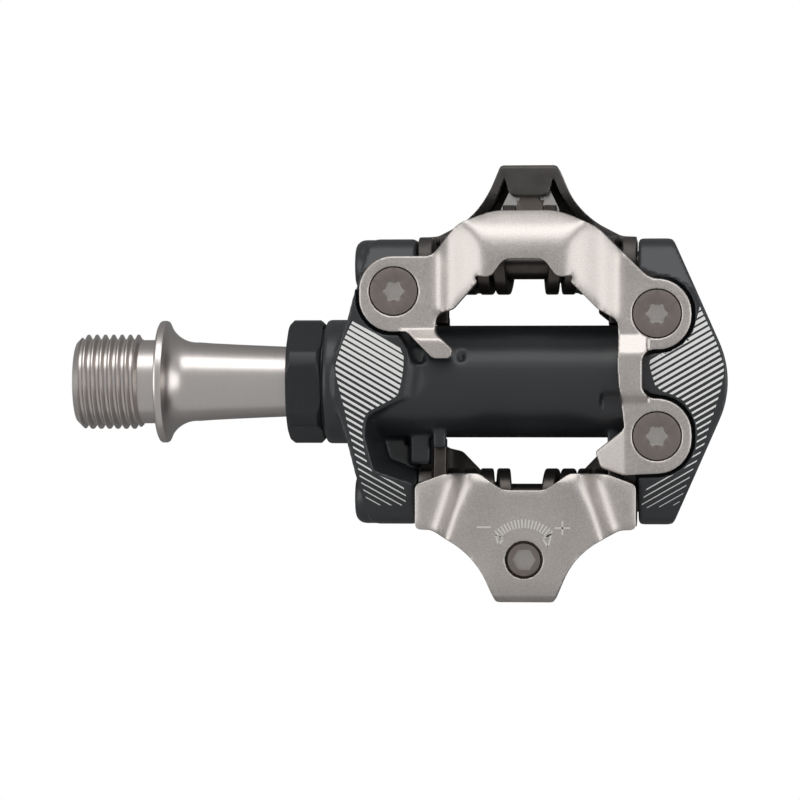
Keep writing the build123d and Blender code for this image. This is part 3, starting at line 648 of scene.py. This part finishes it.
@once
def pale_floor():
    """Glows evenly where it is looked at, and is dim where the metal mirrors it."""
    finish = Finish("pale_floor")
    mottle = finish.noise(60 * MM)
    paper = finish.surface(Base_Color=finish.tint((0.30, 0.30, 0.30), 0.97, 1.03, mottle),
                           Roughness=0.9)
    glow = finish.node("ShaderNodeEmission", {}, {"Color": (1, 1, 1, 1), "Strength": 1.0})
    seen = finish.node("ShaderNodeLightPath", output="Is Camera Ray")
    both = finish.node("ShaderNodeMixShader", {}, {
        0: seen, 1: Field(finish, finish.shader.outputs[0]), 2: glow})
    finish.plug(finish.tree.nodes["Material Output"].inputs["Surface"], both)
    return paper


# ---------------------------------------------------------------- pieces
def crank_thread(settings):
    """Cut thread: one pitch of its ridge, screwed about the axis and trimmed to a blank."""
    pitch, root = settings.thread_pitch, settings.thread_r - settings.thread_depth
    crest = settings.thread_r
    start, end = settings.thread_start, settings.thread_end
    ridge = [(0, root), (pitch / 8, root), (pitch * 7 / 16, crest), (pitch * 9 / 16, crest),
             (pitch * 7 / 8, root), (pitch, root)]
    first = start - settings.thread_lead * pitch
    thread = drawn_line("crank_thread", [(first + x, 0, r) for x, r in ridge])
    turns = math.ceil((end - start) / pitch) + 6
    fitted(thread, "SCREW", axis="X", angle=2 * math.pi, screw_offset=pitch,
           iterations=turns, steps=64, render_steps=64, use_merge_vertices=True,
           merge_threshold=0.002 * MM)
    with editing(thread):
        bpy.ops.mesh.remove_doubles(threshold=0.002 * MM)
        for place, side in ((start - 0.8 * pitch, 1), (end + 0.8 * pitch, -1)):
            bpy.ops.mesh.select_all(action="SELECT")
            bpy.ops.mesh.bisect(plane_co=(place, 0, 0), plane_no=(side, 0, 0),
                                use_fill=True, clear_inner=True)
        bpy.ops.mesh.select_all(action="SELECT")
        bpy.ops.mesh.normals_make_consistent(inside=False)
    chamfer, over = settings.thread_chamfer / MM, 0.1
    low, high, radius = start / MM, end / MM, crest / MM
    blank = turned_shape("blank", [
        (low, 0), (low, radius - chamfer), (low + chamfer + over, radius + over),
        (high - 0.5 - over, radius + over), (high, radius - 0.5), (high, 0)])
    trimmed(thread, blank, "INTERSECT")
    bpy.ops.mesh.primitive_cylinder_add(
        vertices=6, radius=settings.key_flats / math.sqrt(3), depth=settings.key_depth + MM,
        location=(start + (settings.key_depth - MM) / 2, 0, 0), rotation=(0, math.pi / 2, 0))
    trimmed(thread, placed("key"), "DIFFERENCE")
    only(thread)
    bpy.ops.object.shade_smooth_by_angle(angle=math.radians(32))
    return thread


def trimmed(piece, tool, operation):
    """Combines a piece with a tool shape, which is then thrown away."""
    fitted(piece, "BOOLEAN", object=tool, operation=operation, solver="EXACT")
    bpy.data.objects.remove(tool)


class PEDAL_OT_spindle(bpy.types.Operator):
    """Turn the spindle with its flange and cut the crank thread"""
    bl_idname = "pedal.spindle"
    bl_label = "Spindle"

    def execute(self, context):
        settings = context.scene.pedal_spindle
        flare = arc_through((1.45, 8.55), (2.65, 6.98), (5.9, 5.94), 14)
        neck = [(x, 5.94 - 0.69 * ((x - 5.9) / 13.9) ** 0.8) for x in (8, 11, 14, 17, 19.8)]
        race = arc_through((44.858, 4.3), (45.145, 3.844), (46.0, 3.49), 6)
        profile = [
            (-2.8, 0), (-2.8, 6.3), (0.3, 6.3), (0.3, 7.6), (0.08, 7.6), (0, 7.7), (0, 8.8),
            (0.12, 9.05), (0.35, 9.2), (0.95, 9.2), (1.2, 9.1), (1.33, 8.85), *flare, *neck,
            (22.6, 5.25), (24.9, 5.0), (38.0, 5.0), (39.0, 4.3), *race, (46.0, 3.4),
            (55.81, 3.4), (55.81, 3.0), (63.3, 3.0), (63.7, 2.6), (63.7, 0)]
        shaft = turned_shape("spindle_shaft", profile)
        only(shaft)
        bpy.ops.object.shade_smooth_by_angle(angle=math.radians(28))
        for piece in (shaft, crank_thread(settings)):
            stand_for(piece, "spindle", "spindle", turned_steel())
        return {"FINISHED"}


class PEDAL_OT_claws(bpy.types.Operator):
    """Soften and plate the four claws"""
    bl_idname = "pedal.claws"
    bl_label = "Claws"

    def execute(self, context):
        settings = context.scene.pedal_claw
        bolt = Vector((settings.bolt_x, settings.bolt_y))

        def over_arch(vert):
            x, y, _ = vert.co / MM
            return y > 8 and 41.6 < x < 70.2 and abs(vert.normal.z) > 0.45

        def over_slopes(vert):
            off_bolt = (vert.co.xy - bolt).length > 3.8 * MM
            return off_bolt and vert.co.y > -31.4 * MM and abs(vert.normal.z) > 0.45

        jobs = (("front", settings.front_voxel, over_arch, ("body", "body")),
                ("rear", settings.rear_voxel, over_slopes, ("rear_claw_top", "rear_claw_bottom")))
        for end, voxel, bends, bodies in jobs:
            top = softened(cad_copy(f"{end}_claw_top", f"{end}_claw_top_plate"), voxel, 5)
            blended(top, bends, settings.blend_rounds)
            coat(top, blasted_nickel())
            # Painted shade: the claw's inward faces get the darkened nickel, in place of the
            # shade inside the claws.
            painted(top, lambda face: face.normal.z < settings.painted_shade_below, shaded_nickel())
            bottom = copied(top, f"{end}_claw_bottom_plate", HALF_TURN_ABOUT_X)
            for piece, face, body in zip((top, bottom), ("top", "bottom"), bodies):
                stand_for(piece, f"{end}_claw_{face}", body, None)
        return {"FINISHED"}


def gauge_bar(settings, middle, reach, turn):
    """One line of the tension gauge, in millimetres from the tension bolt."""
    x, y = middle
    place = (settings.bolt_x + x * MM, settings.bolt_y + y * MM, settings.top_z)
    bpy.ops.mesh.primitive_cube_add(size=1, location=place, rotation=(0, 0, turn))
    bpy.context.object.scale = (settings.tick_width, reach * MM, 2 * settings.tick_height)
    bar = placed("gauge_bar")
    with editing(bar, "FACE"):
        pick(bar, "faces", lambda face: face.normal.z > 0.9)
        bpy.ops.mesh.inset(thickness=settings.tick_width / 4, depth=0)
    return bar


class PEDAL_OT_gauges(bpy.types.Operator):
    """Mark the tension gauge beside each tension bolt"""
    bl_idname = "pedal.gauges"
    bl_label = "Tension gauges"

    def execute(self, context):
        settings = context.scene.pedal_claw
        circle, reach = settings.tick_circle / MM, settings.tick_reach / MM
        bars = []
        for index in range(settings.tick_count):
            turn = settings.tick_fan * (index / (settings.tick_count - 1) - 0.5)
            middle = (-circle * math.sin(turn), circle * math.cos(turn))
            bars.append(gauge_bar(settings, middle, reach, turn))
        for corners in (((-4.13, 3.67), (-2.95, 3.09), (-3.67, 2.23)),
                        ((4.06, 3.80), (2.76, 3.15), (3.55, 1.91))):
            for here, there in zip(corners, corners[1:] + corners[:1]):
                side = Vector(there) - Vector(here)
                middle = (Vector(here) + Vector(there)) / 2
                bars.append(gauge_bar(settings, middle, side.length, math.atan2(-side.x, side.y)))
        bars.append(gauge_bar(settings, (-5.86, 4.79), 2.1, math.pi / 2))
        bars.append(gauge_bar(settings, (5.67, 4.69), 2.25, math.pi / 2))
        bars.append(gauge_bar(settings, (5.67, 4.69), 2.05, 0))
        top = joined("gauge_top", bars)
        bottom = copied(top, "gauge_bottom", HALF_TURN_ABOUT_X)
        for piece, body in ((top, "rear_claw_top"), (bottom, "rear_claw_bottom")):
            coat(piece, cut_nickel())
            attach(piece, body)
        return {"FINISHED"}


class PEDAL_OT_body(bpy.types.Operator):
    """Soften and paint the body, its barrel and its wings"""
    bl_idname = "pedal.body"
    bl_label = "Body"

    def execute(self, context):
        settings = context.scene.pedal_body
        body = softened(cad_copy("pedal_body", "pedal_body_painted"), settings.voxel, 3)
        stand_for(body, "pedal_body", "body", satin_black_paint())
        return {"FINISHED"}


# plan outlines of the etched fields on the pads, in millimetres
LEFT_STRIPES = (
    (29.9, 8.9), (29.3, 7.7), (28.4, 5.7), (27.8, 3.9), (27.35, 2.4), (27.4, 1.2), (27.7, -0.3),
    (28.2, -2.3), (28.7, -4.1), (29.1, -6.2), (29.6, -8.2), (30.2, -10.6), (30.7, -12.8),
    (31.0, -14.3), (31.5, -16.6), (31.8, -17.5), (32.3, -18.4), (35.0, -18.4), (36.9, -18.5),
    (37.6, -17.9), (37.7, -16.9), (37.4, -15.7), (35.6, -14.7), (33.0, -13.6), (32.1, -12.2),
    (31.7, -10.5), (31.45, -8.8), (31.3, -7.5), (31.4, -6.5), (31.6, -5.5), (32.1, -4.6),
    (33.5, -3.8), (34.9, -3.1), (36.0, -2.5), (36.6, -2.0), (37.0, -0.7), (37.25, 0.6),
    (37.45, 2.1), (37.5, 3.6), (37.0, 4.9), (33.4, 7.0),
)
RIGHT_STRIPES = (
    (81.2, 11.0), (80.9, 9.8), (80.2, 7.3), (78.7, 5.4), (76.7, 4.3), (74.9, 4.0), (74.0, 3.5),
    (73.8, 2.6), (74.0, 1.5), (74.6, -0.5), (75.5, -1.4), (77.2, -2.0), (78.7, -2.8),
    (79.9, -4.4), (80.6, -6.2), (80.9, -7.7), (80.6, -10.0), (79.7, -12.1), (78.5, -13.2),
    (77.2, -13.8), (74.0, -14.9), (73.4, -15.7), (72.8, -17.5), (72.5, -18.7), (74.2, -18.7),
    (76.0, -18.5), (78.0, -18.2), (78.6, -16.9), (79.8, -13.9), (80.7, -11.8), (81.9, -9.1),
    (82.6, -6.5), (83.5, -3.8), (84.2, -1.4), (84.7, 0.9), (84.7, 2.3), (84.4, 3.2),
    (83.75, 5.3), (82.75, 7.6), (81.4, 10.5),
)


def stripe_sheet(name, outline, slant, first, count, settings):
    """Slanting bars, each thinner than the one above, cut to an outline."""
    above = settings.stripe_above
    along = Vector((math.cos(slant), math.sin(slant), 0))
    across = Vector((-math.sin(slant), math.cos(slant), 0))
    centre = Vector((sum(x for x, _ in outline), sum(y for _, y in outline), 0)) / len(outline)
    bars = []
    for index in range(count):
        width = settings.stripe_width * (1 - settings.stripe_thinning * index)
        middle = along * centre.dot(along) * MM + across * (first * MM
                                                            - index * settings.stripe_pitch)
        bpy.ops.mesh.primitive_grid_add(x_subdivisions=60, y_subdivisions=1, size=1,
                                        location=(middle.x, middle.y, above),
                                        rotation=(0, 0, slant))
        bpy.context.object.scale = (30 * MM, width, 1)
        bars.append(placed("bar"))
    sheet = raised(joined(name, bars), 2 * MM)
    field = raised(plan_sheet("field", outline, above - MM), 4 * MM)
    trimmed(sheet, field, "INTERSECT")
    with editing(sheet, "FACE"):
        pick(sheet, "faces", lambda face: face.normal.z < 0.9)
        bpy.ops.mesh.delete(type="FACE")
    return sheet


class PEDAL_OT_stripes(bpy.types.Operator):
    """Etch the slanting stripes on the pads of both faces"""
    bl_idname = "pedal.stripes"
    bl_label = "Etched stripes"

    def execute(self, context):
        settings = context.scene.pedal_body
        ground = bpy.data.objects["pedal_body_painted"]
        slant = settings.stripe_slant
        for side, outline, turn, first, count in (("left", LEFT_STRIPES, -slant, 22.55, 29),
                                                  ("right", RIGHT_STRIPES, slant, -30.5, 31)):
            sheet = stripe_sheet(f"stripes_top_{side}", outline, turn, first, count, settings)
            top = laid_on(sheet, ground, settings.stripe_height)
            bottom = copied(top, f"stripes_bottom_{side}", HALF_TURN_ABOUT_X)
            for piece in (top, bottom):
                coat(piece, etched_white())
                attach(piece, "body")
        return {"FINISHED"}


def make_coil(settings):
    """Torsion spring on the X axis, with its first leg towards +Y at its start."""
    half = settings.wire / 2
    bpy.ops.mesh.primitive_plane_add(size=settings.wire, location=(0, 0, settings.mean_r),
                                     rotation=(math.pi / 2, 0, 0))
    spring = placed("spring")
    with editing(spring):
        bpy.ops.mesh.bevel(offset=settings.corner, segments=3, affect="VERTICES")
        bpy.ops.mesh.select_all(action="SELECT")
        bpy.ops.mesh.delete(type="ONLY_FACE")
    fitted(spring, "SCREW", axis="X", angle=2 * math.pi, screw_offset=settings.pitch,
           iterations=settings.turns, steps=40, render_steps=40)
    middle = settings.pitch * settings.turns / 2
    for reach, near in ((settings.body_leg, lambda x: x < middle),
                        (-settings.claw_leg, lambda x: x > middle)):
        with editing(spring, "EDGE"):
            pick(spring, "edges", lambda edge: edge.is_boundary and near(edge.verts[0].co.x)
                 and abs(edge.verts[0].co.y) < half)
            bpy.ops.mesh.extrude_region_move(TRANSFORM_OT_translate={"value": (0, reach, 0)})
            bpy.ops.mesh.edge_face_add()
    with editing(spring):
        bpy.ops.mesh.normals_make_consistent(inside=False)
    only(spring)
    bpy.ops.object.shade_smooth_by_angle(angle=math.radians(40))
    return spring


class PEDAL_OT_springs(bpy.types.Operator):
    """Wind the four torsion springs of square wire"""
    bl_idname = "pedal.springs"
    bl_label = "Springs"

    def execute(self, context):
        settings = context.scene.pedal_spring
        coil = make_coil(settings)
        tilt = Matrix.Rotation(-settings.lean, 4, "X")
        places = {"left": (Matrix.Identity(4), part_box("spring_top_left")[0].x),
                  "right": (Matrix.Scale(-1, 4, (1, 0, 0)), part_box("spring_top_right")[1].x)}
        for side, (hand, end_x) in places.items():
            start = end_x + settings.wire / 2 * (1 if side == "left" else -1)
            there = Matrix.Translation((start, -settings.pin_y, 0)) @ hand @ tilt
            for face, turn in (("top", there), ("bottom", HALF_TURN_ABOUT_X @ there)):
                node = f"spring_{face}_{side}"
                stand_for(copied(coil, f"{node}_coil", turn), node, "body",
                          oiled_spring_steel())
        bpy.data.objects.remove(coil)
        return {"FINISHED"}


EASED_NODES = (
    # node, body, edge width in mm, finish, slot
    ("lock_bolt", "body", 0.25, black_anodising, "black_anodised"),
    ("claw_screws_top", "body", 0.12, matt_screw_steel, "screw_steel"),
    ("claw_screws_bottom", "body", 0.12, matt_screw_steel, "screw_steel"),
    ("tension_bolt_top", "tension_bolt_top", 0.12, matt_screw_steel, "screw_steel"),
    ("tension_bolt_bottom", "tension_bolt_bottom", 0.12, matt_screw_steel, "screw_steel"),
    ("tension_plate_top", "tension_plate_top", 0.2, ground_steel, "bearing_steel"),
    ("tension_plate_bottom", "tension_plate_bottom", 0.2, ground_steel, "bearing_steel"),
    ("pivot_pin_rear", "body", 0.2, oiled_spring_steel, "dark_steel"),
    ("pivot_pin_front", "body", 0.2, oiled_spring_steel, "dark_steel"),
)
KEPT_NODES = {
    "dust_seal": seal_rubber,
    "plain_bush": bush_plastic,
    "bearing_sleeve": ground_steel,
    "bearing_cone": ground_steel,
    "lock_nut": ground_steel,
    "ball_row_inboard": ground_steel,
    "ball_row_outboard": ground_steel,
}


def in_key(face):
    """Whether a face is in a screw's recess: inside its head and close to its axis."""
    x, y, z = face.calc_center_median() / MM
    screws = ((36.0, 13.34), (74.9, 9.96), (74.9, -8.1), (55.5, -26.2))
    across = min(math.hypot(x - sx, abs(y) - abs(sy)) for sx, sy in screws)
    return across < 1.75 and (7.7 < abs(z) < 8.66 or 10.65 < abs(z) < 12.2)


class PEDAL_OT_small_parts(bpy.types.Operator):
    """Break the edges of the screws, pins and plates, and finish the hidden bearing parts"""
    bl_idname = "pedal.small_parts"
    bl_label = "Screws, pins and bearings"

    def execute(self, context):
        for node, body, width, finish, slot in EASED_NODES:
            piece = eased(cad_copy(node, f"{node}_eased"), width * MM)
            coat(piece, finish())
            if finish is matt_screw_steel:
                # Painted highlight: faces in the screws' keys get the lighter steel, for the
                # light caught in the recesses.
                painted(piece, in_key, bright_steel())
            stand_for(piece, node, body, None)
        for node, finish in KEPT_NODES.items():
            coat(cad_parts[node], finish())
        return {"FINISHED"}


# ---------------------------------------------------------------- stage
def area_light(name, place, aim, size, power, tint=(1, 1, 1)):
    lamp = bpy.data.lights.new(name, "AREA")
    lamp.shape = "RECTANGLE"
    lamp.size, lamp.size_y = size
    lamp.energy = power
    lamp.color = tint
    holder = bpy.data.objects.new(name, lamp)
    bpy.context.scene.collection.objects.link(holder)
    holder.location = place
    holder.rotation_euler = (Vector(aim) - Vector(place)).to_track_quat("-Z", "Y").to_euler()


class PEDAL_OT_stage(bpy.types.Operator):
    """Set out the pale floor, the soft lights and the camera"""
    bl_idname = "pedal.stage"
    bl_label = "Stage"

    def execute(self, context):
        settings = context.scene.pedal_stage
        scene = context.scene
        scene.view_settings.view_transform = "Standard"
        aim = Vector((settings.aim_x, settings.aim_y, 0))
        floor_z = CAD_BOX[0][2]
        bpy.ops.mesh.primitive_plane_add(size=1.2, location=(aim.x, aim.y, floor_z))
        floor = placed("floor")
        coat(floor, pale_floor())
        middle = (46 * MM, 0, 0)
        area_light("key_light", (0.05, 0.42, 0.26), middle, (0.5, 0.3), 1.0)
        area_light("left_light", (-0.34, 0.02, 0.20), middle, (0.25, 0.4), 0.5)
        area_light("right_light", (0.44, 0.02, 0.20), middle, (0.25, 0.4), 0.5)
        world = bpy.data.worlds.new("studio")
        world.use_nodes = True
        sky = world.node_tree.nodes["Background"]
        sky.inputs["Color"].default_value = (0.52, 0.52, 0.52, 1)
        sky.inputs["Strength"].default_value = 1.0
        scene.world = world
        camera = bpy.data.cameras.new("camera")
        camera.lens = settings.lens
        camera.sensor_width = 36
        holder = bpy.data.objects.new("camera", camera)
        scene.collection.objects.link(holder)
        away = Vector((math.sin(settings.lean), 0, math.cos(settings.lean)))
        holder.location = aim + settings.distance * away
        side = Vector((0, 1, 0)).cross(away)
        holder.rotation_euler = Matrix((side, (0, 1, 0), away)).transposed().to_euler()
        scene.camera = holder
        return {"FINISHED"}


STEPS = (PEDAL_OT_stage, PEDAL_OT_spindle, PEDAL_OT_body, PEDAL_OT_stripes, PEDAL_OT_claws,
         PEDAL_OT_gauges, PEDAL_OT_springs, PEDAL_OT_small_parts)


class PEDAL_PT_panel(bpy.types.Panel):
    """Lists the pedal's pieces in the order that they are made"""
    bl_label = "Pedal"
    bl_space_type = "VIEW_3D"
    bl_region_type = "UI"
    bl_category = "Pedal"

    def draw(self, context):
        for step in STEPS:
            self.layout.operator(step.bl_idname)


def register():
    for group in SETTINGS.values():
        bpy.utils.register_class(group)
    for name, group in SETTINGS.items():
        setattr(bpy.types.Scene, name, PointerProperty(type=group))
    for step in STEPS:
        bpy.utils.register_class(step)
    bpy.utils.register_class(PEDAL_PT_panel)


def unregister():
    bpy.utils.unregister_class(PEDAL_PT_panel)
    for step in reversed(STEPS):
        bpy.utils.unregister_class(step)
    for name in SETTINGS:
        delattr(bpy.types.Scene, name)
    for group in SETTINGS.values():
        bpy.utils.unregister_class(group)


def main():
    register()
    for step in STEPS:
        group, name = step.bl_idname.split(".")
        getattr(getattr(bpy.ops, group), name)()


if __name__ == "__main__":
    main()
